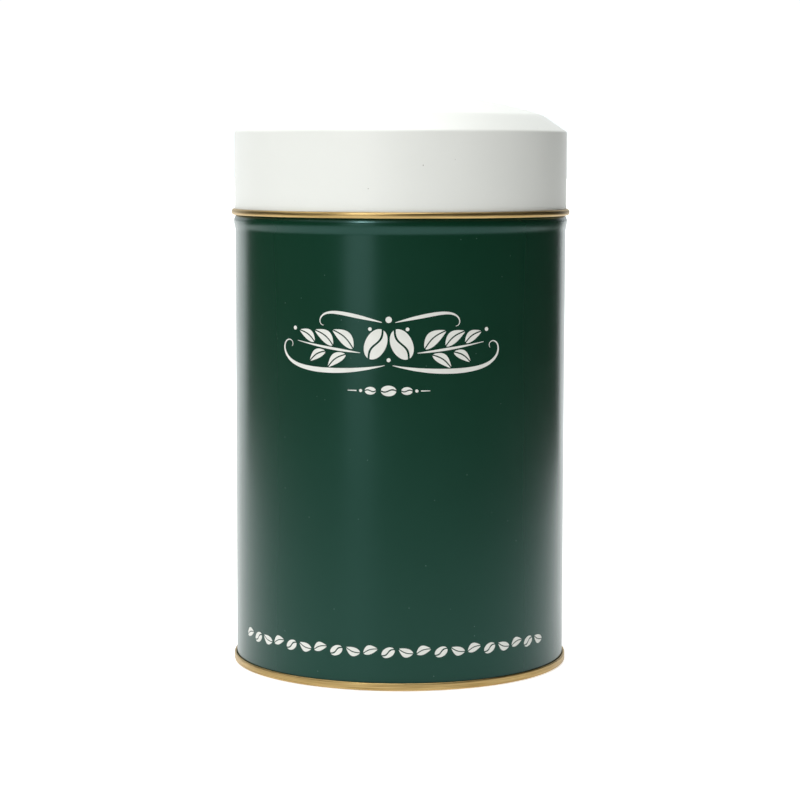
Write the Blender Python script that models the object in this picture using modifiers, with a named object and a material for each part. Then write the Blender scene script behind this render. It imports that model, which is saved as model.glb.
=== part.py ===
"""Round coffee tin: a rolled tinplate body with a double-seamed base, a domed slip lid that
drops over its neck, and an inner plug lid with a turned knob.

Metres, +Z up.  The origin is the centre of the base, on the surface that the tin stands on,
and every piece is turned about the Z axis.  The side seam of the body is at the back, at +Y.
"""
import math

import bpy

MM = 0.001

# Facets round the sheet-metal pieces, and round the knob and its screw
SEGMENTS = 64
SMALL_SEGMENTS = 32

# Tinplate, and the play between the folded layers of the base seam
SHEET = 0.22 * MM
SEAM_PLAY = 0.05 * MM

# Body: a 99 mm tube with a locating bead, and a neck that the lid slips over
BODY_RADIUS = 49.5 * MM
BEAD_RADIUS = 49.95 * MM
NECK_RADIUS = 49.1 * MM
BEAD_FOOT_Z = 129.6 * MM
BEAD_CREST_Z = 132.7 * MM
NECK_FOOT_Z = 135.4 * MM
MOUTH_Z = 156.0 * MM
MOUTH_CURL_RADIUS = 0.9 * MM

# Side seam: the lap where the two edges of the rolled sheet meet
SIDE_SEAM_WIDTH = 3.6 * MM
SIDE_SEAM_RISE = 0.22 * MM
SIDE_SEAM_SINK = 0.17 * MM
SIDE_SEAM_FOOT_Z = 4.0 * MM
SIDE_SEAM_TOP_Z = 128.5 * MM

# Base: the double seam round its edge, and the countersunk panel inside it
SEAM_HEIGHT = 2.2 * MM
SEAM_CORNER_RADIUS = 0.3 * MM
BODY_HOOK_TOP_Z = 1.65 * MM
COVER_HOOK_FOOT_Z = 1.05 * MM
PANEL_Z = 3.3 * MM
PANEL_CORNER_RADIUS = 0.6 * MM
RING_OUTER_RADIUS = 44.6 * MM
RING_INNER_RADIUS = 37.6 * MM
RING_SLOPE = 0.8 * MM
RING_DEPTH = 0.6 * MM
CENTRE_DEPTH = 0.1 * MM
GASKET_HEIGHT = 0.3 * MM

# Slip lid, measured up from the bottom of its rim
LID_SEAT_Z = 134.5 * MM
LID_RADIUS = 49.65 * MM
LID_RIM_INNER_A = 0.39 * MM
LID_RIM_INNER_B = 0.68 * MM
LID_CORNER_RADIUS = 1.2 * MM
LID_BEVEL_RADIUS = 42.3 * MM
LID_BEVEL_Z = 29.7 * MM
LID_BEVEL_ANGLE = math.radians(34.4)
LID_APEX_Z = 36.0 * MM

# Inner plug lid, measured up from the mouth of the body
PLUG_PLAY = 0.15 * MM
PLUG_PANEL_Z = -8.4 * MM
PLUG_CORNER_RADIUS = 1.2 * MM
PLUG_FLANGE_RADIUS = 48.95 * MM
PLUG_CENTRE_RADIUS = 31.0 * MM
PLUG_CENTRE_RISE = 0.8 * MM
PLUG_HOLE_RADIUS = 1.75 * MM

# Knob and screw, measured up from the top face of the plug lid's raised centre
KNOB_GAP = 0.1 * MM
KNOB_FOOT_RADIUS = 5.0 * MM
KNOB_FOOT_HEIGHT = 1.2 * MM
KNOB_WAIST_RADIUS = 3.4 * MM
KNOB_WAIST_Z = 4.2 * MM
KNOB_HEAD_RADIUS = 8.5 * MM
KNOB_HEAD_HALF_HEIGHT = 4.4 * MM
KNOB_HEAD_Z = 9.6 * MM
KNOB_HOLE_RADIUS = 1.7 * MM
KNOB_HOLE_TOP_Z = 8.0 * MM
SCREW_RADIUS = 1.45 * MM
SCREW_TOP_Z = 7.5 * MM
SCREW_HEAD_RADIUS = 2.9 * MM
SCREW_HEAD_HEIGHT = 1.7 * MM
SCREW_HEAD_CHAMFER = 0.5 * MM
SCREW_SLOT_WIDTH = 0.8 * MM
SCREW_SLOT_DEPTH = 0.8 * MM


def clear_scene():
    """Remove whatever objects the scene starts with."""
    for obj in list(bpy.data.objects):
        bpy.data.objects.remove(obj, do_unlink=True)


def new_collection(name):
    """A collection linked to the scene."""
    collection = bpy.data.collections.new(name)
    bpy.context.scene.collection.children.link(collection)
    return collection


def new_material(name, colour, roughness, metallic):
    """A plain Principled material."""
    material = bpy.data.materials.new(name)
    material.use_nodes = True
    shader = material.node_tree.nodes["Principled BSDF"]
    shader.inputs["Base Color"].default_value = (*colour, 1.0)
    shader.inputs["Roughness"].default_value = roughness
    shader.inputs["Metallic"].default_value = metallic
    material.diffuse_color = (*colour, 1.0)
    return material


def arc(centre, radii, start, end, steps):
    """Points (radius, height) on an ellipse from one angle to another, in degrees."""
    points = []
    for step in range(steps + 1):
        angle = math.radians(start + (end - start) * step / steps)
        points.append((centre[0] + radii[0] * math.cos(angle), centre[1] + radii[1] * math.sin(angle)))
    return points


def ease(first, last, steps):
    """Points on a smooth S from first to last, without first itself."""
    points = []
    for step in range(1, steps + 1):
        part = step / steps
        blend = (1 - math.cos(math.pi * part)) / 2
        points.append((first[0] + (last[0] - first[0]) * blend, first[1] + (last[1] - first[1]) * part))
    return points


def turned(name, outline, material, collection, segments, closed=False):
    """A piece turned about Z from an outline that runs down its outer side."""
    edges = [(index, index + 1) for index in range(len(outline) - 1)]
    if closed:
        edges.append((len(outline) - 1, 0))
    mesh = bpy.data.meshes.new(name)
    mesh.from_pydata([(radius, 0.0, height) for radius, height in outline], edges, [])
    mesh.materials.append(material)
    piece = bpy.data.objects.new(name, mesh)
    collection.objects.link(piece)
    screw = piece.modifiers.new("turn", "SCREW")
    screw.axis = "Z"
    screw.angle = math.tau
    screw.steps = segments
    screw.render_steps = segments
    screw.use_merge_vertices = True
    screw.merge_threshold = 0.000001
    screw.use_smooth_shade = True
    return piece


def sheet_metal(name, outline, material, collection):
    """A turned piece of tinplate: the outline is its outer face, and the sheet lies behind it."""
    piece = turned(name, outline, material, collection, SEGMENTS)
    thickness = piece.modifiers.new("sheet", "SOLIDIFY")
    thickness.thickness = SHEET
    thickness.offset = -1.0
    thickness.use_even_offset = True
    return piece


def new_cutter(name, size, centre, collection):
    """A box for a Boolean modifier, hidden from the finished object."""
    bpy.ops.mesh.primitive_cube_add(size=1.0, location=centre)
    box = bpy.context.object
    box.name = name
    box.scale = size
    bpy.context.view_layer.update()
    box.data.transform(box.matrix_world)
    box.matrix_world.identity()
    for other in list(box.users_collection):
        other.objects.unlink(box)
    collection.objects.link(box)
    box.hide_render = True
    box.display_type = "WIRE"
    return box


def add_boolean(piece, cutter, operation):
    """Join a cutter to a piece, or cut it away."""
    boolean = piece.modifiers.new(cutter.name, "BOOLEAN")
    boolean.operation = operation
    boolean.solver = "EXACT"
    boolean.object = cutter


def new_datum(name, height, parent, collection):
    """An empty on the tin's axis, at the height that its pieces are measured from."""
    datum = bpy.data.objects.new(name, None)
    datum.empty_display_size = 0.02
    datum.location = (0.0, 0.0, height)
    datum.parent = parent
    collection.objects.link(datum)
    return datum


def seam_layers():
    """Radii of the faces of the body wall and of the folds outside it, from the wall outwards."""
    cover_hook = BODY_RADIUS + SEAM_PLAY
    body_hook = cover_hook + SHEET + SEAM_PLAY
    outer_wall = body_hook + SHEET + SEAM_PLAY
    return cover_hook, body_hook, outer_wall


def body_outline():
    """Outer face of the body, from the free end of the mouth curl to the top of the body hook."""
    curl_centre = (NECK_RADIUS - MOUTH_CURL_RADIUS, MOUTH_Z - MOUTH_CURL_RADIUS)
    cover_hook, body_hook, outer_wall = seam_layers()
    fold_radius = (body_hook - BODY_RADIUS) / 2
    fold_centre = (BODY_RADIUS + fold_radius, 2 * SHEET + SEAM_PLAY + fold_radius)
    points = arc(curl_centre, (MOUTH_CURL_RADIUS, MOUTH_CURL_RADIUS), 270, 0, 6)
    points.append((NECK_RADIUS, NECK_FOOT_Z))
    points += ease((NECK_RADIUS, NECK_FOOT_Z), (BEAD_RADIUS, BEAD_CREST_Z), 3)
    points += ease((BEAD_RADIUS, BEAD_CREST_Z), (BODY_RADIUS, BEAD_FOOT_Z), 3)
    points += arc(fold_centre, (fold_radius, fold_radius), 180, 360, 4)
    points.append((body_hook, BODY_HOOK_TOP_Z))
    return points


def make_body_shell(material, collection, cutters):
    """The rolled body: curl, neck, bead, wall and base hook, with its lapped side seam behind."""
    piece = sheet_metal("body_shell", body_outline(), material, collection)
    depth = SIDE_SEAM_RISE + SIDE_SEAM_SINK
    height = SIDE_SEAM_TOP_Z - SIDE_SEAM_FOOT_Z
    centre = (0.0, BODY_RADIUS + SIDE_SEAM_RISE - depth / 2, SIDE_SEAM_FOOT_Z + height / 2)
    lap = new_cutter("side_seam_lap", (SIDE_SEAM_WIDTH, depth, height), centre, cutters)
    add_boolean(piece, lap, "UNION")
    return piece


def bottom_outline():
    """Outer face of the base, from the cover hook round the double seam to the panel's centre."""
    cover_hook, body_hook, outer_wall = seam_layers()
    seam_radius = outer_wall + SHEET
    chuck_wall = BODY_RADIUS - 2 * SHEET - SEAM_PLAY
    bend = (seam_radius - cover_hook) / 2
    corner = (SEAM_CORNER_RADIUS, SEAM_CORNER_RADIUS)
    panel_corner = (PANEL_CORNER_RADIUS, PANEL_CORNER_RADIUS)
    ring_z = PANEL_Z - RING_DEPTH
    centre_z = PANEL_Z - CENTRE_DEPTH
    points = [(cover_hook, COVER_HOOK_FOOT_Z)]
    points += arc((cover_hook + bend, SEAM_HEIGHT - bend), (bend, bend), 180, 0, 4)
    points += arc((seam_radius - SEAM_CORNER_RADIUS, SEAM_CORNER_RADIUS), corner, 0, -90, 2)
    points += arc((chuck_wall + SEAM_CORNER_RADIUS, SEAM_CORNER_RADIUS), corner, -90, -180, 2)
    points += arc((chuck_wall - PANEL_CORNER_RADIUS, PANEL_Z - PANEL_CORNER_RADIUS), panel_corner, 0, 90, 2)
    points.append((RING_OUTER_RADIUS, PANEL_Z))
    points.append((RING_OUTER_RADIUS - RING_SLOPE, ring_z))
    points.append((RING_INNER_RADIUS + RING_SLOPE, ring_z))
    points.append((RING_INNER_RADIUS, centre_z))
    points.append((0.0, centre_z))
    return points


def make_bottom_end(material, collection):
    """The base, folded round the body's hook."""
    return sheet_metal("bottom_end", bottom_outline(), material, collection)


def make_bottom_seam_gasket(material, collection):
    """The ring of sealing compound at the bottom of the body hook's fold."""
    cover_hook, body_hook, outer_wall = seam_layers()
    inner = cover_hook
    outer = cover_hook + SHEET
    top = COVER_HOOK_FOOT_Z - SEAM_PLAY
    foot = top - GASKET_HEIGHT
    outline = [(outer, top), (outer, foot), (inner, foot), (inner, top)]
    return turned("bottom_seam_gasket", outline, material, collection, SEGMENTS, closed=True)


def lid_outline():
    """Outer face of the slip lid, from the top of its dome to the free end of its rim curl."""
    rise = LID_APEX_Z - LID_BEVEL_Z
    dome_radius = (LID_BEVEL_RADIUS ** 2 + rise ** 2) / (2 * rise)
    points = []
    for step in range(6):
        radius = LID_BEVEL_RADIUS * step / 5
        drop = dome_radius - math.sqrt(dome_radius ** 2 - radius ** 2)
        points.append((radius, LID_APEX_Z - drop))
    corner_r = LID_RADIUS - LID_CORNER_RADIUS
    tangent_r = corner_r + LID_CORNER_RADIUS * math.sin(LID_BEVEL_ANGLE)
    tangent_z = LID_BEVEL_Z - (tangent_r - LID_BEVEL_RADIUS) * math.tan(LID_BEVEL_ANGLE)
    corner_z = tangent_z - LID_CORNER_RADIUS * math.cos(LID_BEVEL_ANGLE)
    corner_start = 90 - math.degrees(LID_BEVEL_ANGLE)
    points += arc((corner_r, corner_z), (LID_CORNER_RADIUS, LID_CORNER_RADIUS), corner_start, 0, 3)
    rim_centre = (LID_RADIUS + LID_RIM_INNER_A, LID_RIM_INNER_B + SHEET)
    rim = (LID_RIM_INNER_A, LID_RIM_INNER_B)
    points += arc(rim_centre, rim, 180, 450, 6)
    points += arc(rim_centre, rim, 450, 475, 1)[1:]
    return points


def make_lid_shell(material, collection):
    """The slip lid, drawn in one piece, with its edge curled outwards."""
    return sheet_metal("lid_shell", lid_outline(), material, collection)


def plug_outline():
    """Upper face of the inner lid, from its screw hole to the edge of its flange."""
    seat = (NECK_RADIUS - MOUTH_CURL_RADIUS, -MOUTH_CURL_RADIUS)
    flange = MOUTH_CURL_RADIUS + PLUG_PLAY + SHEET
    wall = seat[0] - flange
    corner = (PLUG_CORNER_RADIUS, PLUG_CORNER_RADIUS)
    centre_z = PLUG_PANEL_Z + PLUG_CENTRE_RISE
    points = [(PLUG_HOLE_RADIUS, centre_z), (PLUG_CENTRE_RADIUS, centre_z)]
    points.append((PLUG_CENTRE_RADIUS + PLUG_CENTRE_RISE, PLUG_PANEL_Z))
    points += arc((wall - PLUG_CORNER_RADIUS, PLUG_PANEL_Z + PLUG_CORNER_RADIUS), corner, -90, 0, 3)
    points += arc(seat, (flange, flange), 180, 90, 2)
    points.append((PLUG_FLANGE_RADIUS, seat[1] + flange))
    return points


def make_inner_lid_panel(material, collection):
    """The pressed dish that plugs the mouth, with a flange that rests on the mouth's curl."""
    return sheet_metal("inner_lid_panel", plug_outline(), material, collection)


def make_inner_lid_knob(material, collection):
    """The turned knob, with a blind hole for its screw."""
    head = (KNOB_HEAD_RADIUS, KNOB_HEAD_HALF_HEIGHT)
    outline = arc((0.0, KNOB_HEAD_Z), head, 90, -60, 8)
    outline[0] = (0.0, outline[0][1])
    outline.append((KNOB_WAIST_RADIUS, KNOB_WAIST_Z))
    outline.append((KNOB_FOOT_RADIUS, KNOB_FOOT_HEIGHT))
    outline.append((KNOB_FOOT_RADIUS, 0.0))
    outline.append((KNOB_HOLE_RADIUS, 0.0))
    outline.append((KNOB_HOLE_RADIUS, KNOB_HOLE_TOP_Z))
    outline.append((0.0, KNOB_HOLE_TOP_Z))
    return turned("inner_lid_knob", outline, material, collection, SMALL_SEGMENTS)


def make_inner_lid_screw(material, collection, cutters, world_z):
    """The slotted screw that holds the knob from below."""
    head_top = -SHEET - KNOB_GAP
    head_foot = head_top - SCREW_HEAD_HEIGHT
    outline = [(0.0, SCREW_TOP_Z), (SCREW_RADIUS, SCREW_TOP_Z), (SCREW_RADIUS, head_top)]
    outline.append((SCREW_HEAD_RADIUS, head_top))
    outline.append((SCREW_HEAD_RADIUS, head_foot + SCREW_HEAD_CHAMFER))
    outline.append((SCREW_HEAD_RADIUS - SCREW_HEAD_CHAMFER, head_foot))
    outline.append((0.0, head_foot))
    piece = turned("inner_lid_screw", outline, material, collection, SMALL_SEGMENTS)
    length = 3 * SCREW_HEAD_RADIUS
    centre = (0.0, 0.0, world_z + head_foot)
    size = (length, SCREW_SLOT_WIDTH, 2 * SCREW_SLOT_DEPTH)
    slot = new_cutter("screw_slot", size, centre, cutters)
    add_boolean(piece, slot, "DIFFERENCE")
    return piece


def place(pieces, datum):
    """Hang pieces on a datum."""
    for piece in pieces:
        piece.parent = datum


def make_can(tin, collection, cutters):
    """Body, base and the sealing compound between them."""
    green = new_material("green_lacquer", (0.009, 0.052, 0.032), 0.32, 0.0)
    gold = new_material("gold_lacquered_tinplate", (0.62, 0.42, 0.17), 0.3, 1.0)
    compound = new_material("sealing_compound", (0.33, 0.31, 0.27), 0.8, 0.0)
    pieces = [make_body_shell(green, collection, cutters)]
    pieces.append(make_bottom_end(gold, collection))
    pieces.append(make_bottom_seam_gasket(compound, collection))
    place(pieces, tin)


def make_inner_lid(tin, collection, cutters):
    """Plug lid with its knob and screw."""
    gold = new_material("gold_plug_lid", (0.66, 0.47, 0.21), 0.32, 1.0)
    brass = new_material("turned_brass", (0.72, 0.5, 0.2), 0.25, 1.0)
    steel = new_material("zinc_plated_steel", (0.6, 0.6, 0.58), 0.35, 1.0)
    inner_lid = new_datum("inner_lid", MOUTH_Z, tin, collection)
    place([make_inner_lid_panel(gold, collection)], inner_lid)
    knob_seat_z = PLUG_PANEL_Z + PLUG_CENTRE_RISE
    knob_seat = new_datum("knob_seat", knob_seat_z, inner_lid, collection)
    knob = make_inner_lid_knob(brass, collection)
    knob.location.z = KNOB_GAP
    screw = make_inner_lid_screw(steel, collection, cutters, MOUTH_Z + knob_seat_z)
    place([knob, screw], knob_seat)


def make_outer_lid(tin, collection):
    """The domed slip lid."""
    white = new_material("white_lacquer", (0.82, 0.82, 0.77), 0.45, 0.0)
    outer_lid = new_datum("outer_lid", LID_SEAT_Z, tin, collection)
    place([make_lid_shell(white, collection)], outer_lid)


def main():
    """Build the whole tin."""
    clear_scene()
    collection = new_collection("coffee_tin")
    cutters = new_collection("cutters")
    tin = new_datum("tin", 0.0, None, collection)
    make_can(tin, collection, cutters)
    make_inner_lid(tin, collection, cutters)
    make_outer_lid(tin, collection)


main()
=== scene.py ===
"""Looks of a round coffee tin: green lacquered body, off-white domed lid, gold-lacquered tinplate.

Metres, +Z up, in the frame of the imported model.  Every piece is turned about Z, and the
decoration is a thin layer of ink wrapped on the front of the body, at -Y.
"""
import math

import bmesh
import bpy
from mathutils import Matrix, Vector


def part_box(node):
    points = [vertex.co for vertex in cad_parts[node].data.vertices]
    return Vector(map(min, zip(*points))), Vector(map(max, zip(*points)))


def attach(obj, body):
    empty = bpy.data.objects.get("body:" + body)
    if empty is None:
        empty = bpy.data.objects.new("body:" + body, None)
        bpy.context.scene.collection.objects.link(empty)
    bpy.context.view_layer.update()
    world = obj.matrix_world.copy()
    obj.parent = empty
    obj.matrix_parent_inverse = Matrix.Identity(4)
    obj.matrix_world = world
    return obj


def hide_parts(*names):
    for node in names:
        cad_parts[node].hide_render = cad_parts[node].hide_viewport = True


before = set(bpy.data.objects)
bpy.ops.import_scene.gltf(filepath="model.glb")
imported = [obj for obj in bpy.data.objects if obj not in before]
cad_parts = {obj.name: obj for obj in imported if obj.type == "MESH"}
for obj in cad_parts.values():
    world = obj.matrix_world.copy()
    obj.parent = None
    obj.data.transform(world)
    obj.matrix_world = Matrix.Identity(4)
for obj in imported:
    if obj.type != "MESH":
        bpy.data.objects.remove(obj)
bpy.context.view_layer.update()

MM = 0.001

# Fineness of the turned pieces
SEGMENTS = 192
SMALL_SEGMENTS = 96

# Sizes that the frame's boxes don't give by themselves
SHEET = 0.22 * MM
SEAM_PLAY = 0.05 * MM
BODY_RADIUS = 49.5 * MM
BEAD_RISE = 0.45 * MM
NECK_RADIUS = 49.1 * MM
BEAD_FOOT_Z = 129.6 * MM
BEAD_CREST_Z = 132.7 * MM
NECK_FOOT_Z = 135.4 * MM
PRINT_TOP_Z = 152.0 * MM
CURL_RADIUS = 0.9 * MM
SEAM_HEIGHT = 2.2 * MM
SEAM_INSIDE = 48.9 * MM
HOOK_TOP_Z = 1.65 * MM
COVER_FOOT_Z = 1.05 * MM
SEAM_FOOT = 0.3 * MM
GASKET_SOFTENING = 0.04 * MM
LID_RADIUS = 49.65 * MM
LID_RIM_A = 0.39 * MM
LID_RIM_B = 0.68 * MM
LID_CORNER_RADIUS = 1.2 * MM
LID_BEVEL_RADIUS = 42.3 * MM
LID_BEVEL_RISE = 29.7 * MM
LID_BEVEL_ANGLE = math.radians(34.4)
LID_SOFTENING = 1.4 * MM
LID_FLARE = 0.08 * MM
LID_FLARE_HEIGHT = 1.2 * MM

# The lap of the side seam
LAP_HALF = 1.8 * MM
LAP_RISE = 0.2 * MM
LAP_SUNK = 0.1 * MM
LAP_SOFTENING = (0.08 * MM, 0.05 * MM)
LAP_FOOT_Z = 4.2 * MM
LAP_TOP_Z = 128.2 * MM

# The base's panel, with its sunk expansion ring
PANEL_Z = 3.3 * MM
PANEL_CORNER = 0.6 * MM
PANEL_SOFTENING = 0.5 * MM
RING_OUTSIDE = 44.6 * MM
RING_INSIDE = 37.6 * MM
RING_SLOPE = 0.8 * MM
RING_Z = 2.7 * MM
CENTRE_Z = 3.2 * MM
CENTRE_RADIUS = 12.0 * MM

# The inner lid
PLUG_DEPTH = 8.4 * MM
PLUG_RAISED = 0.8 * MM
PLUG_STEP_INSIDE = 31.0 * MM
PLUG_STEP_OUTSIDE = 31.8 * MM
PLUG_CORNER = 1.2 * MM
PLUG_HOLE = 1.75 * MM
PLUG_EDGE = 48.95 * MM
FLANGE_GAP = 0.15 * MM

# The knob, with heights above its foot
KNOB_HEAD = (8.5 * MM, 4.4 * MM)
KNOB_HEAD_Z = 9.6 * MM
KNOB_WAIST = 3.4 * MM
KNOB_WAIST_Z = 4.2 * MM
KNOB_FOOT = 5.0 * MM
KNOB_FOOT_Z = 1.2 * MM
KNOB_FOOT_SOFTENING = 0.3 * MM
KNOB_BORE = 1.7 * MM
KNOB_BORE_Z = 8.0 * MM

# Slots of a sheet-metal piece's materials, and what counts as lying on the axis
FRONT, BACK, EDGE, RIM = 0, 1, 2, 3
ON_AXIS = 1e-9

# Surroundings: the glow of the white world and table, and the curtain's run in degrees
SKY = (0.955, 1.0, 1.01)
WORLD_STRENGTH = 1.06
TABLE_WHITE = (0.9, 0.9, 0.9)
TABLE_SIZE = (30.0, 30.0)
TABLE_GAP = 0.2 * MM
TABLE_GLOW = 0.61
CLOTH_BLACK = (0.012, 0.012, 0.012)
STAGE_ROUGHNESS = 0.9
CURTAIN_FROM, CURTAIN_TO = -136, 136
CURTAIN_STEPS = 64
CURTAIN_DISTANCE = 0.65
CURTAIN_SHIFT = -0.1
CURTAIN_TOP_LEFT, CURTAIN_TOP_RIGHT = 0.6, 1.5
CURTAIN_RISE = 60

# Lights: width and height, then degrees to the camera's right, distance and height, then watts
STRIP_SIZE = (0.2, 0.3)
STRIP_PLACE = (-27, 0.6, 0.2)
STRIP_AIM = (0.0, 0.0, 0.2)
STRIP_POWER = 0.36
KEY_SIZE = (0.07, 0.06)
KEY_PLACE = (-28, 0.62, 0.58)
KEY_AIM = (0.0, 0.0, 0.13)
KEY_POWER = 1.2
SIDE_SIZE = (0.5, 0.4)
SIDE_PLACE = (-85, 0.75, 0.95)
SIDE_POWER = 0.6
TOP_SIZE = (0.7, 0.7)
TOP_PLACE = (0, 0.05, 1.3)
TOP_POWER = 8.0
MIDDLE = (0.0, 0.0, 0.09)
WHITE_LIGHT = (1.0, 1.0, 1.0)
STRIP_LIGHT = (1.0, 1.0, 0.99)

# Camera: lengths of the lens and sensor in millimetres, place in metres, angles in degrees
LENS = 108.65
SENSOR_WIDTH = 36.0
CAMERA_PLACE = (0.0, -0.7272, 0.1523)
CAMERA_DOWN = 5.80
CAMERA_ROLL = -0.13
CAMERA_LEFT = 0.017
CAMERA_REACH = 50.0

# Where the decoration sits on the front of the body
ART_TURN = math.radians(-3.8)
INK_PROUD = 0.02 * MM
CREST_Z = 98.5 * MM
CREST_SIZE = 0.95
SMALL_ART_Z = 86.0 * MM
BORDER_Z = 11.0 * MM
BORDER_MOTIFS = 21
BORDER_PITCH = 5.1
HAIRLINE = 0.16

body_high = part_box("body_shell")[1]
lid_low, lid_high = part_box("lid_shell")
knob_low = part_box("inner_lid_knob")[0]
gasket_low, gasket_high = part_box("bottom_seam_gasket")


# Colours, each as the two ends of a slow variation
GREENS = (0.0030, 0.0280, 0.0125), (0.0044, 0.0325, 0.0155)
GREEN_SHEEN = (0.38, 0.75, 0.76, 1.0)
GREEN_DUST = (0.05, 0.09, 0.07)
WHITES = (0.80, 0.81, 0.765), (0.83, 0.835, 0.79)
WHITE_DUST = (0.45, 0.44, 0.40)
INKS = (0.70, 0.70, 0.65), (0.76, 0.76, 0.71)
GOLDS_INSIDE = (0.52, 0.38, 0.19), (0.60, 0.45, 0.24)
GOLDS_EDGE = (0.27, 0.175, 0.055), (0.60, 0.43, 0.19)
TINS = (0.42, 0.42, 0.41), (0.60, 0.60, 0.58)
BRASSES = (0.60, 0.42, 0.16), (0.74, 0.54, 0.24)
ZINCS = (0.50, 0.51, 0.52), (0.66, 0.66, 0.64)
RUBBERS = (0.26, 0.25, 0.21), (0.34, 0.32, 0.28)


# ---------------------------------------------------------------- materials

class Shader:
    """A Principled material and short ways to add nodes to it."""

    def __init__(self, name, roughness, metallic=0.0, coat=0.0, coat_roughness=0.1, specular=0.5):
        self.material = bpy.data.materials.new(name)
        self.material.use_nodes = True
        self.nodes = self.material.node_tree.nodes
        self.links = self.material.node_tree.links
        self.principled = self.nodes["Principled BSDF"]
        self.set("Roughness", roughness)
        self.set("Metallic", metallic)
        self.set("Coat Weight", coat)
        self.set("Coat Roughness", coat_roughness)
        self.set("Specular IOR Level", specular)
        self.position = self.nodes.new("ShaderNodeTexCoord").outputs["Object"]

    def set(self, socket, value):
        """Set one of the shader's own sockets."""
        self.principled.inputs[socket].default_value = value

    def scaled(self, size):
        """Object coordinates stretched by a different amount along each axis."""
        mapping = self.nodes.new("ShaderNodeMapping")
        mapping.inputs["Scale"].default_value = size
        self.links.new(self.position, mapping.inputs["Vector"])
        return mapping.outputs["Vector"]

    def noise(self, scale, detail=2.0, vector=None):
        """Noise from 0 to 1, with so many waves to the metre."""
        noise = self.nodes.new("ShaderNodeTexNoise")
        noise.inputs["Scale"].default_value = scale
        noise.inputs["Detail"].default_value = detail
        self.links.new(vector or self.position, noise.inputs["Vector"])
        return noise.outputs["Fac"]

    def specks(self, scale, size):
        """1 on small round specks and 0 between them."""
        cells = self.nodes.new("ShaderNodeTexVoronoi")
        cells.inputs["Scale"].default_value = scale
        self.links.new(self.position, cells.inputs["Vector"])
        near = self.math("LESS_THAN", cells.outputs["Distance"], size)
        chosen = self.nodes.new("ShaderNodeSeparateColor")
        self.links.new(cells.outputs["Color"], chosen.inputs["Color"])
        some = self.math("LESS_THAN", chosen.outputs["Red"], 0.16)
        return self.math("MULTIPLY", near, some)

    def math(self, operation, first, second):
        """A Math node on one output and a number or another output."""
        node = self.nodes.new("ShaderNodeMath")
        node.operation = operation
        self.links.new(first, node.inputs[0])
        if isinstance(second, float):
            node.inputs[1].default_value = second
        else:
            self.links.new(second, node.inputs[1])
        return node.outputs["Value"]

    def ramp(self, factor, stops):
        """A colour ramp over (position, colour) stops."""
        node = self.nodes.new("ShaderNodeValToRGB")
        elements = node.color_ramp.elements
        while len(elements) < len(stops):
            elements.new(0.5)
        for element, (place, colour) in zip(elements, stops):
            element.position = place
            element.color = (*colour, 1.0)
        self.links.new(factor, node.inputs["Fac"])
        return node.outputs["Color"]

    def between(self, factor, pair):
        """A blend from the first colour of a pair to its second, flat at both ends."""
        return self.ramp(factor, [(0.3, pair[0]), (0.7, pair[1])])

    def mix(self, factor, first, second):
        """Blend of two colours, each a colour output or three numbers."""
        node = self.nodes.new("ShaderNodeMix")
        node.data_type = "RGBA"
        self.links.new(factor, node.inputs["Factor"])
        for value, socket in ((first, node.inputs["A"]), (second, node.inputs["B"])):
            if isinstance(value, tuple):
                socket.default_value = (*value, 1.0)
            else:
                self.links.new(value, socket)
        return node.outputs["Result"]

    def colour(self, output):
        """Feed the base colour."""
        self.links.new(output, self.principled.inputs["Base Color"])

    def roughness(self, factor, low, high):
        """Roughness from low to high over a 0 to 1 pattern."""
        node = self.nodes.new("ShaderNodeMapRange")
        node.inputs["To Min"].default_value = low
        node.inputs["To Max"].default_value = high
        self.links.new(factor, node.inputs["Value"])
        self.links.new(node.outputs["Result"], self.principled.inputs["Roughness"])

    def bumps(self, *layers):
        """Bump from (pattern, height in metres) layers, one on another."""
        normal = None
        for pattern, height in layers:
            bump = self.nodes.new("ShaderNodeBump")
            bump.inputs["Distance"].default_value = height
            self.links.new(pattern, bump.inputs["Height"])
            if normal:
                self.links.new(normal, bump.inputs["Normal"])
            normal = bump.outputs["Normal"]
        self.links.new(normal, self.principled.inputs["Normal"])


def green_lacquer():
    """Dark green satin lacquer: faint orange peel, a slow waviness of the sheet, and dust."""
    shader = Shader("green_lacquer", 0.25, coat=0.05, coat_roughness=0.16, specular=0.5)
    shader.set("Specular Tint", GREEN_SHEEN)
    tone = shader.between(shader.noise(14.0, 3.0), GREENS)
    shader.colour(shader.mix(shader.specks(420.0, 0.07), tone, GREEN_DUST))
    shader.roughness(shader.noise(60.0, 4.0), 0.22, 0.28)
    shader.bumps((shader.noise(45.0, 1.0), 0.03 * MM), (shader.noise(1500.0, 2.0), 0.0025 * MM))
    return shader.material


def white_lacquer():
    """Off-white satin lacquer with the fine dark specks of its pigment and dust."""
    shader = Shader("white_lacquer", 0.42, specular=0.5)
    tone = shader.between(shader.noise(20.0, 3.0), WHITES)
    shader.colour(shader.mix(shader.specks(330.0, 0.06), tone, WHITE_DUST))
    shader.roughness(shader.noise(80.0, 4.0), 0.38, 0.46)
    shader.bumps((shader.noise(40.0, 1.0), 0.02 * MM), (shader.noise(1300.0, 2.0), 0.003 * MM))
    return shader.material


def printing_ink():
    """The decoration's off-white ink, a little matter than the lacquer under it."""
    shader = Shader("off_white_ink", 0.45)
    shader.colour(shader.between(shader.noise(260.0, 4.0), INKS))
    shader.roughness(shader.noise(500.0, 3.0), 0.4, 0.5)
    shader.bumps((shader.noise(2600.0, 2.0), 0.002 * MM))
    return shader.material


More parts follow.
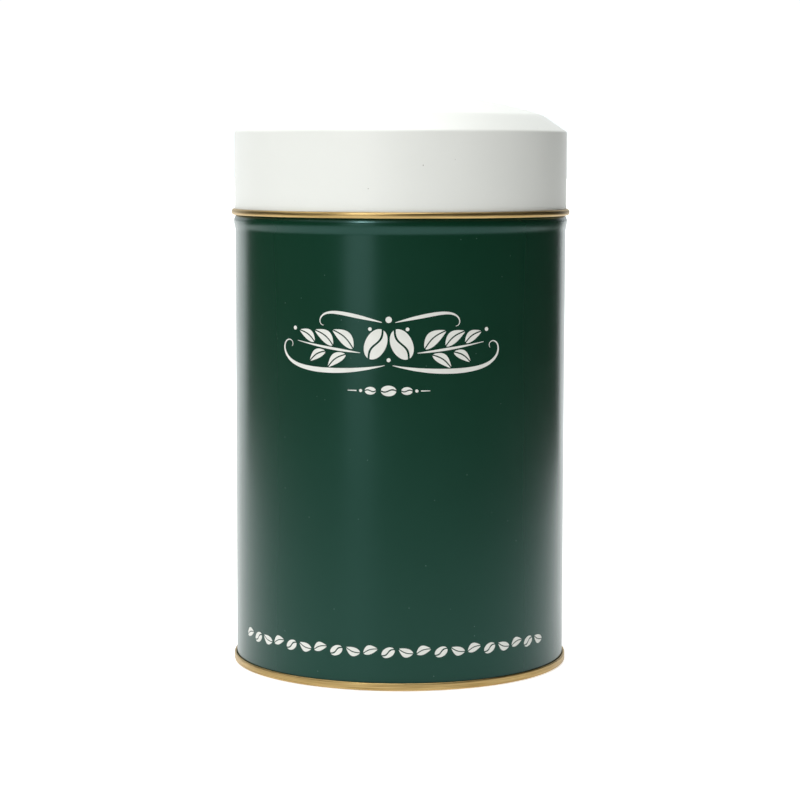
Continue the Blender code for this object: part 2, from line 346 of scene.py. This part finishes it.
def gold_lacquer(name, pair, low, high):
    """Transparent gold lacquer on tinplate: fine lines along the turning, and small clouds."""
    shader = Shader(name, low, metallic=1.0)
    clouds = shader.noise(40.0, 3.0)
    lines = shader.noise(1.0, 3.0, shader.scaled((60.0, 60.0, 4200.0)))
    tone = shader.ramp(lines, [(0.36, pair[0]), (0.64, pair[1])])
    middle = tuple((a + b) / 2 for a, b in zip(*pair))
    shader.colour(shader.mix(shader.math("MULTIPLY", clouds, 0.6), tone, middle))
    shader.roughness(lines, low, high)
    shader.bumps((lines, 0.012 * MM), (shader.noise(900.0, 2.0), 0.003 * MM))
    return shader.material


def bare_tinplate():
    """Bright tinplate where nothing is printed: cut edges and the side seam's lap."""
    shader = Shader("bare_tinplate", 0.34, metallic=1.0)
    lines = shader.noise(1.0, 4.0, shader.scaled((2600.0, 2600.0, 40.0)))
    shader.colour(shader.between(lines, TINS))
    shader.roughness(shader.noise(300.0, 4.0), 0.28, 0.45)
    shader.bumps((lines, 0.006 * MM))
    return shader.material


def turned_brass():
    """Brass with the fine rings that a lathe leaves."""
    shader = Shader("turned_brass", 0.24, metallic=1.0)
    rings = shader.noise(1.0, 2.0, shader.scaled((150.0, 150.0, 9000.0)))
    shader.colour(shader.between(shader.noise(180.0, 4.0), BRASSES))
    shader.roughness(rings, 0.18, 0.34)
    shader.bumps((rings, 0.006 * MM))
    return shader.material


def zinc_plate():
    """Bright zinc on the screw."""
    shader = Shader("zinc_plate", 0.32, metallic=1.0)
    shader.colour(shader.between(shader.noise(700.0, 4.0), ZINCS))
    shader.roughness(shader.noise(1400.0, 3.0), 0.25, 0.42)
    shader.bumps((shader.noise(2500.0, 3.0), 0.005 * MM))
    return shader.material


def sealing_compound():
    """Matt grey-beige rubber."""
    shader = Shader("sealing_compound", 0.8)
    shader.colour(shader.between(shader.noise(900.0, 4.0), RUBBERS))
    shader.roughness(shader.noise(1200.0, 3.0), 0.7, 0.9)
    shader.bumps((shader.noise(2400.0, 3.0), 0.01 * MM))
    return shader.material


# ---------------------------------------------------------------- outlines

def arc(centre, radii, start, end, steps):
    """Points (radius, height) on an ellipse from one angle to another, in degrees."""
    points = []
    for step in range(steps + 1):
        angle = math.radians(start + (end - start) * step / steps)
        points.append((centre[0] + radii[0] * math.cos(angle), centre[1] + radii[1] * math.sin(angle)))
    return points


def ease(first, last, steps):
    """Points on a smooth S from first to last, without first itself."""
    points = []
    for step in range(1, steps + 1):
        part = step / steps
        blend = (1 - math.cos(math.pi * part)) / 2
        points.append((first[0] + (last[0] - first[0]) * blend, first[1] + (last[1] - first[1]) * part))
    return points


def rounded(points, radius, steps=4):
    """The same line with each inner corner replaced by a short curve of about that size."""
    smooth = [points[0]]
    for before, corner, after in zip(points, points[1:], points[2:]):
        ends = []
        for other in (before, after):
            length = math.dist(corner, other)
            reach = min(radius, 0.45 * length)
            ends.append(tuple(c + (o - c) * reach / length for c, o in zip(corner, other)))
        for step in range(steps + 1):
            t = step / steps
            smooth.append(tuple((1 - t) ** 2 * a + 2 * t * (1 - t) * c + t * t * b
                                for a, c, b in zip(ends[0], corner, ends[1])))
    return smooth + [points[-1]]


def behind(outline, thickness):
    """The sheet's other face: the outline moved to its back by the thickness."""
    normals = []
    for first, last in zip(outline, outline[1:]):
        length = math.dist(first, last)
        normals.append(((first[1] - last[1]) / length, (last[0] - first[0]) / length))
    shifted = []
    for index, (radius, height) in enumerate(outline):
        before = normals[max(index - 1, 0)]
        after = normals[min(index, len(normals) - 1)]
        total = (before[0] + after[0], before[1] + after[1])
        size = math.hypot(*total)
        normal = (total[0] / size, total[1] / size)
        grow = thickness / (normal[0] * after[0] + normal[1] * after[1])
        if radius < ON_AXIS:
            normal, grow = (0.0, math.copysign(1.0, normal[1])), thickness
        shifted.append((radius - normal[0] * grow, height - normal[1] * grow))
    return shifted


def lathe(name, outline, materials, slot_of, segments=SEGMENTS, closed=True):
    """A turned mesh from a closed outline, or an open one whose ends lie on the axis."""
    mesh = bmesh.new()
    rings = []
    for radius, height in outline:
        if radius < ON_AXIS:
            rings.append([mesh.verts.new((0.0, 0.0, height))])
            continue
        ring = []
        for step in range(segments):
            angle = math.tau * step / segments
            ring.append(mesh.verts.new((radius * math.cos(angle), radius * math.sin(angle), height)))
        rings.append(ring)
    spans = len(rings) if closed else len(rings) - 1
    for span in range(spans):
        upper, lower = rings[span], rings[(span + 1) % len(rings)]
        if len(upper) == 1 and len(lower) == 1:
            continue
        for step in range(segments):
            after = (step + 1) % segments
            corners = [upper[step % len(upper)], lower[step % len(lower)]]
            corners += [lower[after % len(lower)], upper[after % len(upper)]]
            face = mesh.faces.new(list(dict.fromkeys(corners)))
            face.material_index = slot_of(span)
            face.smooth = True
    return finished(name, mesh, materials)


def finished(name, mesh, materials):
    """A mesh object from a bmesh, with sharp corners kept."""
    data = bpy.data.meshes.new(name)
    bmesh.ops.recalc_face_normals(mesh, faces=mesh.faces)
    mesh.to_mesh(data)
    mesh.free()
    data.set_sharp_from_angle(angle=math.radians(50))
    for material in materials:
        data.materials.append(material)
    piece = bpy.data.objects.new(name, data)
    bpy.context.scene.collection.objects.link(piece)
    return piece


def sheet_piece(name, outline, materials, front_slot, back_slot=None):
    """Tinplate of one thickness, with its faces' slots given by functions of (radius, height)."""
    back = behind(outline, SHEET)
    if outline[-1][0] < ON_AXIS:
        outline, back = outline[::-1], back[::-1]
    loop = outline + back[::-1]
    last = len(outline) - 1

    def slot_of(span):
        on_front = span < last
        on_back = last < span < 2 * last + 1
        if not (on_front or on_back):
            return EDGE
        first, second = loop[span], loop[span + 1]
        middle = ((first[0] + second[0]) / 2, (first[1] + second[1]) / 2)
        if on_front:
            return front_slot(*middle)
        return back_slot(*middle) if back_slot else BACK

    return lathe(name, loop, materials, slot_of, closed=outline[0][0] >= ON_AXIS)


# ---------------------------------------------------------------- the can

def body_outline():
    """Outer face of the body, from the free end of the mouth curl to the top of the body hook."""
    cover_hook = BODY_RADIUS + SEAM_PLAY
    body_hook = cover_hook + SHEET + SEAM_PLAY
    fold = (body_hook - BODY_RADIUS) / 2
    fold_centre = (BODY_RADIUS + fold, 2 * SHEET + SEAM_PLAY + fold)
    curl_centre = (NECK_RADIUS - CURL_RADIUS, body_high.z - CURL_RADIUS)
    points = arc(curl_centre, (CURL_RADIUS, CURL_RADIUS), 255, 0, 24)
    points.append((NECK_RADIUS, PRINT_TOP_Z))
    points.append((NECK_RADIUS, NECK_FOOT_Z))
    points += ease((NECK_RADIUS, NECK_FOOT_Z), (BODY_RADIUS + BEAD_RISE, BEAD_CREST_Z), 10)
    points += ease((BODY_RADIUS + BEAD_RISE, BEAD_CREST_Z), (BODY_RADIUS, BEAD_FOOT_Z), 12)
    points += arc(fold_centre, (fold, fold), 180, 360, 10)
    points.append((body_hook, HOOK_TOP_Z))
    return points


def make_body(green, gold, tinplate):
    """The body: printed outside up to its neck, gold-lacquered inside and round the curl."""
    def front_slot(radius, height):
        return FRONT if height < PRINT_TOP_Z else BACK

    body = sheet_piece("body", body_outline(), [green, gold, tinplate], front_slot)
    ride_for(body, "can", "green_lacquer", "body_shell")


def make_side_seam(tinplate):
    """The lap down the back, where the sheet's two edges meet and nothing is printed."""
    mesh = bmesh.new()
    inset, drop = LAP_SOFTENING
    rows = [(-LAP_HALF, -LAP_SUNK), (-LAP_HALF, LAP_RISE - drop), (-LAP_HALF + inset, LAP_RISE)]
    rows += [(-across, proud) for across, proud in reversed(rows)]
    ends = []
    for height in (LAP_FOOT_Z, LAP_TOP_Z):
        ring = []
        for across, proud in rows:
            angle = across / BODY_RADIUS
            reach = BODY_RADIUS + proud
            ring.append(mesh.verts.new((reach * math.sin(angle), reach * math.cos(angle), height)))
        ends.append(ring)
    for index in range(len(rows)):
        after = (index + 1) % len(rows)
        mesh.faces.new([ends[0][index], ends[0][after], ends[1][after], ends[1][index]])
    for ring in ends:
        mesh.faces.new(ring)
    seam = finished("side_seam", mesh, [tinplate])
    ride_for(seam, "can", "green_lacquer")


def bottom_outline():
    """Outer face of the base, from the cover hook round the double seam to the panel's centre."""
    cover_hook = BODY_RADIUS + SEAM_PLAY
    seam_radius = cover_hook + 3 * SHEET + 2 * SEAM_PLAY
    chuck_wall = BODY_RADIUS - 2 * SHEET - SEAM_PLAY
    bend = (seam_radius - cover_hook) / 2
    panel_edge = chuck_wall - PANEL_CORNER
    foot = (SEAM_FOOT, SEAM_FOOT)
    points = [(cover_hook, COVER_FOOT_Z)]
    points += arc((cover_hook + bend, SEAM_HEIGHT - bend), (bend, bend), 180, 0, 12)
    points += arc((seam_radius - SEAM_FOOT, SEAM_FOOT), foot, 0, -90, 6)
    points += arc((chuck_wall + SEAM_FOOT, SEAM_FOOT), foot, -90, -180, 6)
    points += arc((panel_edge, PANEL_Z - PANEL_CORNER), (PANEL_CORNER, PANEL_CORNER), 0, 90, 8)
    panel = [(panel_edge, PANEL_Z), (RING_OUTSIDE, PANEL_Z), (RING_OUTSIDE - RING_SLOPE, RING_Z)]
    panel += [(RING_INSIDE + RING_SLOPE, RING_Z), (RING_INSIDE, CENTRE_Z), (CENTRE_RADIUS, CENTRE_Z)]
    points += rounded(panel, PANEL_SOFTENING)[1:]
    points.append((0.0, CENTRE_Z))
    return points


def make_base(gold_seam, gold_panel, compound):
    """The base and the ring of compound inside its seam."""
    def front_slot(radius, height):
        return FRONT if radius > SEAM_INSIDE else BACK

    base = sheet_piece("base", bottom_outline(), [gold_seam, gold_panel, gold_seam], front_slot)
    ride_for(base, "can", "gold_lacquered_base", "bottom_end")
    inner = BODY_RADIUS + SEAM_PLAY
    outer = inner + SHEET
    low, high = gasket_low.z, gasket_high.z
    square = [(outer, high), (outer, low), (inner, low), (inner, high), (outer, high)]
    outline = rounded(square, GASKET_SOFTENING)
    ring = lathe("seam_compound", outline[1:-1], [compound], lambda span: 0)
    ride_for(ring, "can", "sealing_compound", "bottom_seam_gasket")


# ---------------------------------------------------------------- the lids

def lid_outline():
    """Outer face of the slip lid, from the top of its dome to the free end of its rim curl."""
    bevel_z = lid_low.z + LID_BEVEL_RISE
    rise = lid_high.z - bevel_z
    dome = (LID_BEVEL_RADIUS ** 2 + rise ** 2) / (2 * rise)
    points = []
    steps = 28
    for step in range(steps + 1):
        radius = (LID_BEVEL_RADIUS - LID_SOFTENING) * step / steps
        points.append((radius, lid_high.z - dome + math.sqrt(dome ** 2 - radius ** 2)))
    corner_r = LID_RADIUS - LID_CORNER_RADIUS
    tangent_r = corner_r + LID_CORNER_RADIUS * math.sin(LID_BEVEL_ANGLE)
    tangent_z = bevel_z - (tangent_r - LID_BEVEL_RADIUS) * math.tan(LID_BEVEL_ANGLE)
    corner_z = tangent_z - LID_CORNER_RADIUS * math.cos(LID_BEVEL_ANGLE)
    shoulder = rounded([points[-1], (LID_BEVEL_RADIUS, bevel_z), (tangent_r, tangent_z)], LID_SOFTENING, 8)
    points += shoulder[2:-1]
    corner = (LID_CORNER_RADIUS, LID_CORNER_RADIUS)
    points += arc((corner_r, corner_z), corner, 90 - math.degrees(LID_BEVEL_ANGLE), 0, 10)
    rim_centre = (LID_RADIUS + LID_RIM_A, lid_low.z + LID_RIM_B + SHEET)
    flare_z = rim_centre[1] + LID_RIM_B + SHEET
    points.append((LID_RADIUS, flare_z + LID_FLARE_HEIGHT))
    points += ease(points[-1], (LID_RADIUS + LID_FLARE, flare_z), 8)
    points += arc(rim_centre, (LID_RIM_A, LID_RIM_B), 180, 476, 30)
    return points


def make_lid(white, gold, tinplate, gold_rim):
    """The domed slip lid: lacquered white outside, and gold inside and on its outward curl."""
    def front_slot(radius, height):
        return FRONT

    def back_slot(radius, height):
        return RIM if radius > LID_RADIUS else BACK

    lid = sheet_piece("slip_lid", lid_outline(), [white, gold, tinplate, gold_rim], front_slot, back_slot)
    ride_for(lid, "outer_lid", "white_lacquer", "lid_shell")


def plug_outline():
    """Upper face of the inner lid, from its screw hole to the edge of its flange."""
    seat = (NECK_RADIUS - CURL_RADIUS, body_high.z - CURL_RADIUS)
    flange = CURL_RADIUS + FLANGE_GAP + SHEET
    wall = seat[0] - flange
    panel_z = body_high.z - PLUG_DEPTH
    raised = panel_z + PLUG_RAISED
    corner = (wall - PLUG_CORNER, panel_z + PLUG_CORNER)
    panel = [(PLUG_HOLE, raised), (PLUG_STEP_INSIDE, raised), (PLUG_STEP_OUTSIDE, panel_z)]
    points = rounded(panel + [(corner[0], panel_z)], PANEL_SOFTENING)
    points += arc(corner, (PLUG_CORNER, PLUG_CORNER), -90, 0, 8)[1:]
    points += arc(seat, (flange, flange), 180, 90, 12)
    points.append((PLUG_EDGE, seat[1] + flange))
    return points


def knob_outline():
    """The knob from the top of its head, down its stem and foot, to the end of its blind bore."""
    foot = knob_low.z
    head = arc((0.0, foot + KNOB_HEAD_Z), KNOB_HEAD, 90, -55, 28)
    head[0] = (0.0, head[0][1])
    stem = [(KNOB_WAIST, foot + KNOB_WAIST_Z), (KNOB_FOOT, foot + KNOB_FOOT_Z), (KNOB_FOOT, foot)]
    bore = [(KNOB_BORE, foot), (KNOB_BORE, foot + KNOB_BORE_Z), (0.0, foot + KNOB_BORE_Z)]
    return head + rounded(stem, KNOB_FOOT_SOFTENING) + bore


def make_inner_lid(gold, brass, zinc, tinplate):
    """The plug lid, its knob and the knob's screw."""
    plug = sheet_piece("plug_lid", plug_outline(), [gold, gold, tinplate], lambda radius, height: FRONT)
    ride_for(plug, "inner_lid", "gold_lacquered_plug", "inner_lid_panel")
    knob = lathe("knob", knob_outline(), [brass], lambda span: 0, SMALL_SEGMENTS, closed=False)
    ride_for(knob, "inner_lid", "turned_brass", "inner_lid_knob")
    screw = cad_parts["inner_lid_screw"]
    screw.data.materials.clear()
    screw.data.materials.append(zinc)


# ---------------------------------------------------------------- decoration

def swash(start, heading, length, bend, curl, power, width):
    """A pen stroke that sets off from start at heading degrees and swells half-way.

    It bends evenly by bend, and towards its end by curl as well: a higher power curls it later.
    """
    steps = 90
    x, y = start
    angle = math.radians(heading)
    left, right = [], []
    for step in range(steps + 1):
        part = step / steps
        half = (HAIRLINE + (width - HAIRLINE) * math.sin(math.pi * part ** 0.8) ** 1.3) / 2
        left.append((x - half * math.sin(angle), y + half * math.cos(angle)))
        right.append((x + half * math.sin(angle), y - half * math.cos(angle)))
        x += length / steps * math.cos(angle)
        y += length / steps * math.sin(angle)
        angle += length / steps * (bend + curl * part ** power)
    return [(left, right)]


def leaf(length, width, gap):
    """The two halves of a leaf, either side of its midrib."""
    steps = 20
    halves = []
    for side in (1, -1):
        rib, edge = [], []
        for step in range(steps + 1):
            part = step / steps
            arch = 0.1 * length * math.sin(math.pi * part)
            swell = 0.05 + width / 2 * math.sin(math.pi * part ** 0.85) ** 0.9
            rib.append((length * part, arch + side * gap / 2))
            edge.append((length * part, arch + side * (gap / 2 + swell)))
        halves.append((rib, edge))
    return halves


def bean(length, width, gap):
    """The two halves of a coffee bean, either side of its crease."""
    steps = 24
    halves = []
    for side in (1, -1):
        crease, edge = [], []
        for step in range(steps + 1):
            along = -0.99 * math.cos(math.pi * step / steps)
            inner = 0.11 * width * math.sin(math.pi * along) + side * gap / 2
            outer = max(width / 2 * math.sqrt(1 - along ** 2), side * inner + 0.03)
            crease.append((length / 2 * along, inner))
            edge.append((length / 2 * along, side * outer))
        halves.append((crease, edge))
    return halves


def dot(radius):
    """A round dot."""
    upper = arc((0.0, 0.0), (radius, radius), 172, 8, 16)
    return [(upper, [(x, -y) for x, y in upper])]


def moved(shapes, turn, shift, size=1.0):
    """Shapes scaled, turned by so many degrees and then shifted."""
    c, s = size * math.cos(math.radians(turn)), size * math.sin(math.radians(turn))

    def place(line):
        return [(x * c - y * s + shift[0], x * s + y * c + shift[1]) for x, y in line]

    return [(place(left), place(right)) for left, right in shapes]


def mirrored(shapes):
    """The same shapes the other way round."""
    return [([(-x, y) for x, y in left], [(-x, y) for x, y in right]) for left, right in shapes]


def crest():
    """Two coffee beans between leafy twigs and pen flourishes, in millimetres."""
    half = swash((1.2, -5.6), -12, length=42.5, bend=0.0125, curl=1.15, power=7.5, width=1.5)
    half += swash((2.0, 7.2), 14, length=23.0, bend=-0.006, curl=-1.2, power=6.5, width=1.1)
    half += swash((8.6, -1.9), 6, length=21.0, bend=0.004, curl=0.0, power=1.0, width=0.75)
    for x, y, turn, length in ((10.8, -0.6, 40, 8.2), (17.2, 0.2, 36, 7.2), (23.4, 1.1, 32, 6.0)):
        half += moved(leaf(length, 0.42 * length, 0.4), turn, (x, y))
    for x, y, turn, length in ((13.2, -2.5, -34, 6.6), (19.8, -1.7, -30, 5.8)):
        half += moved(leaf(length, 0.4 * length, 0.4), turn, (x, y))
    half += moved(dot(0.6), 0, (30.4, 4.9))
    half += moved(dot(0.55), 0, (5.6, 5.2))
    half += moved(bean(9.6, 6.4, 0.65), -64, (3.9, 0.7))
    whole = half + mirrored(half) + moved(dot(0.95), 0, (0, 8.0)) + moved(dot(0.6), 0, (0, -4.0))
    return moved(whole, 0, (0, 0), CREST_SIZE)


def small_row():
    """Three small beans between dots and dashes."""
    half = moved(bean(3.2, 2.2, 0.35), 0, (5.2, 0)) + moved(dot(0.45), 0, (8.0, 0))
    half.append(([(9.2, 0.16), (11.8, 0.1)], [(9.2, -0.16), (11.8, -0.1)]))
    return half + mirrored(half) + bean(4.4, 3.0, 0.4)


def border():
    """A row of leaves and beans, repeated round the front of the base."""
    shapes = []
    for index in range(BORDER_MOTIFS):
        place = (index - (BORDER_MOTIFS - 1) / 2) * BORDER_PITCH
        if index % 3 == 1:
            shapes += moved(bean(4.0, 2.8, 0.4), 28, (place, 0))
        elif index % 3 == 0:
            shapes += moved(leaf(4.2, 2.2, 0.3), 18, (place - 2.0, -0.3))
        else:
            shapes += moved(leaf(4.2, 2.2, 0.3), 162, (place + 2.0, -0.3))
    return shapes


def print_on_body(name, shapes, height, ink):
    """A thin layer of ink in the given shapes, wrapped on the body round one height."""
    mesh = bmesh.new()
    columns = 5
    for left, right in shapes:
        layers = []
        for proud in (INK_PROUD, -INK_PROUD):
            grid = []
            for a, b in zip(left, right):
                row = []
                for column in range(columns):
                    share = column / (columns - 1)
                    across = (a[0] + (b[0] - a[0]) * share) * MM
                    angle = ART_TURN + across / BODY_RADIUS
                    reach = BODY_RADIUS + proud
                    up = height + (a[1] + (b[1] - a[1]) * share) * MM
                    row.append(mesh.verts.new((reach * math.sin(angle), -reach * math.cos(angle), up)))
                grid.append(row)
            layers.append(grid)
        close_slab(mesh, layers[0], layers[1])
    printed = finished(name, mesh, [ink])
    ride_for(printed, "can", "green_lacquer")


def close_slab(mesh, upper, lower):
    """Faces of a closed slab between two grids of vertices."""
    rows, columns = len(upper), len(upper[0])
    for row in range(rows - 1):
        for column in range(columns - 1):
            for grid in (upper, lower):
                face = mesh.faces.new([grid[row][column], grid[row + 1][column],
                                       grid[row + 1][column + 1], grid[row][column + 1]])
                face.smooth = True
    edge = [(row, 0) for row in range(rows)]
    edge += [(rows - 1, column) for column in range(1, columns)]
    edge += [(row, columns - 1) for row in range(rows - 2, -1, -1)]
    edge += [(0, column) for column in range(columns - 2, 0, -1)]
    for (r0, c0), (r1, c1) in zip(edge, edge[1:] + edge[:1]):
        mesh.faces.new([upper[r0][c0], upper[r1][c1], lower[r1][c1], lower[r0][c0]])


# ---------------------------------------------------------------- stage

def ride_for(piece, body, slot, *nodes):
    """Let a piece ride on a body and stand for CAD nodes. The slot argument is not used."""
    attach(piece, body)
    if nodes:
        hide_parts(*nodes)


def plain_material(name, colour):
    """A matt stage material."""
    material = bpy.data.materials.new(name)
    material.use_nodes = True
    shader = material.node_tree.nodes["Principled BSDF"]
    shader.inputs["Base Color"].default_value = (*colour, 1.0)
    shader.inputs["Roughness"].default_value = STAGE_ROUGHNESS
    return material


def panel(name, size, place, aim, material):
    """A flat stage panel at a place, facing a point."""
    mesh = bmesh.new()
    w, h = size[0] / 2, size[1] / 2
    mesh.faces.new([mesh.verts.new(v) for v in ((-w, -h, 0), (w, -h, 0), (w, h, 0), (-w, h, 0))])
    board = finished(name, mesh, [material])
    board.location = place
    board.rotation_euler = (Vector(aim) - Vector(place)).to_track_quat("Z", "Y").to_euler()


def around(azimuth, distance, height):
    """A point at so many degrees to the right of the camera's side, seen from above the tin."""
    angle = math.radians(azimuth)
    return (distance * math.sin(angle), -distance * math.cos(angle), height)


def softbox(name, size, place, aim, power, colour=WHITE_LIGHT):
    """A rectangular area light at (degrees to the right, distance, height)."""
    light = bpy.data.lights.new(name, "AREA")
    light.shape = "RECTANGLE"
    light.size, light.size_y = size
    light.energy = power
    light.color = colour
    lamp = bpy.data.objects.new(name, light)
    lamp.location = around(*place)
    lamp.rotation_euler = (Vector(aim) - lamp.location).to_track_quat("-Z", "Y").to_euler()
    lamp.visible_camera = False
    bpy.context.scene.collection.objects.link(lamp)


def make_curtain(material):
    """A dark curtain round the camera's side, hidden from the camera, for the green to reflect."""
    mesh = bmesh.new()
    rows = []
    for step in range(CURTAIN_STEPS + 1):
        azimuth = CURTAIN_FROM + (CURTAIN_TO - CURTAIN_FROM) * step / CURTAIN_STEPS
        share = min(max(azimuth / CURTAIN_RISE, 0.0), 1.0)
        top = CURTAIN_TOP_LEFT + (CURTAIN_TOP_RIGHT - CURTAIN_TOP_LEFT) * share
        rows.append([mesh.verts.new(around(azimuth, CURTAIN_DISTANCE, z)) for z in (0.0, top)])
    for first, second in zip(rows, rows[1:]):
        mesh.faces.new([first[0], second[0], second[1], first[1]])
    curtain = finished("curtain", mesh, [material])
    curtain.location.x = CURTAIN_SHIFT
    curtain.visible_camera = False


def make_stage():
    """White table and surroundings, soft lights and the dark curtain."""
    scene = bpy.context.scene
    world = bpy.data.worlds.new("studio")
    scene.world = world
    world.use_nodes = True
    background = world.node_tree.nodes["Background"]
    background.inputs["Color"].default_value = (*SKY, 1.0)
    background.inputs["Strength"].default_value = WORLD_STRENGTH
    scene.view_settings.view_transform = "Standard"
    table = plain_material("white_table", TABLE_WHITE)
    glow = table.node_tree.nodes["Principled BSDF"].inputs
    glow["Emission Color"].default_value = (1.0, 1.0, 1.0, 1.0)
    glow["Emission Strength"].default_value = TABLE_GLOW
    panel("floor", TABLE_SIZE, (0.0, 0.0, -TABLE_GAP), (0.0, 0.0, 1.0), table)
    softbox("strip", STRIP_SIZE, STRIP_PLACE, STRIP_AIM, STRIP_POWER, STRIP_LIGHT)
    softbox("key", KEY_SIZE, KEY_PLACE, KEY_AIM, KEY_POWER)
    softbox("side", SIDE_SIZE, SIDE_PLACE, MIDDLE, SIDE_POWER)
    softbox("top", TOP_SIZE, TOP_PLACE, MIDDLE, TOP_POWER)
    make_curtain(plain_material("black_cloth", CLOTH_BLACK))


def make_camera():
    """The camera, in front of the tin at about the height of its shoulder."""
    camera_data = bpy.data.cameras.new("camera")
    camera_data.sensor_width = SENSOR_WIDTH
    camera_data.lens = LENS
    camera_data.clip_end = CAMERA_REACH
    camera = bpy.data.objects.new("camera", camera_data)
    camera.location = CAMERA_PLACE
    turns = (90.0 - CAMERA_DOWN, CAMERA_ROLL, CAMERA_LEFT)
    camera.rotation_euler = [math.radians(turn) for turn in turns]
    bpy.context.scene.collection.objects.link(camera)
    bpy.context.scene.camera = camera


def main():
    """Build every piece, then the stage."""
    gold_inside = gold_lacquer("gold_inside", GOLDS_INSIDE, 0.3, 0.42)
    gold_edge = gold_lacquer("gold_edge", GOLDS_EDGE, 0.3, 0.5)
    tinplate = bare_tinplate()
    ink = printing_ink()
    make_body(green_lacquer(), gold_inside, tinplate)
    make_side_seam(tinplate)
    make_base(gold_edge, gold_inside, sealing_compound())
    make_lid(white_lacquer(), gold_inside, tinplate, gold_edge)
    make_inner_lid(gold_inside, turned_brass(), zinc_plate(), tinplate)
    print_on_body("printed_crest", crest(), CREST_Z, ink)
    print_on_body("printed_row", small_row(), SMALL_ART_Z, ink)
    print_on_body("printed_border", border(), BORDER_Z, ink)
    make_stage()
    make_camera()


main()
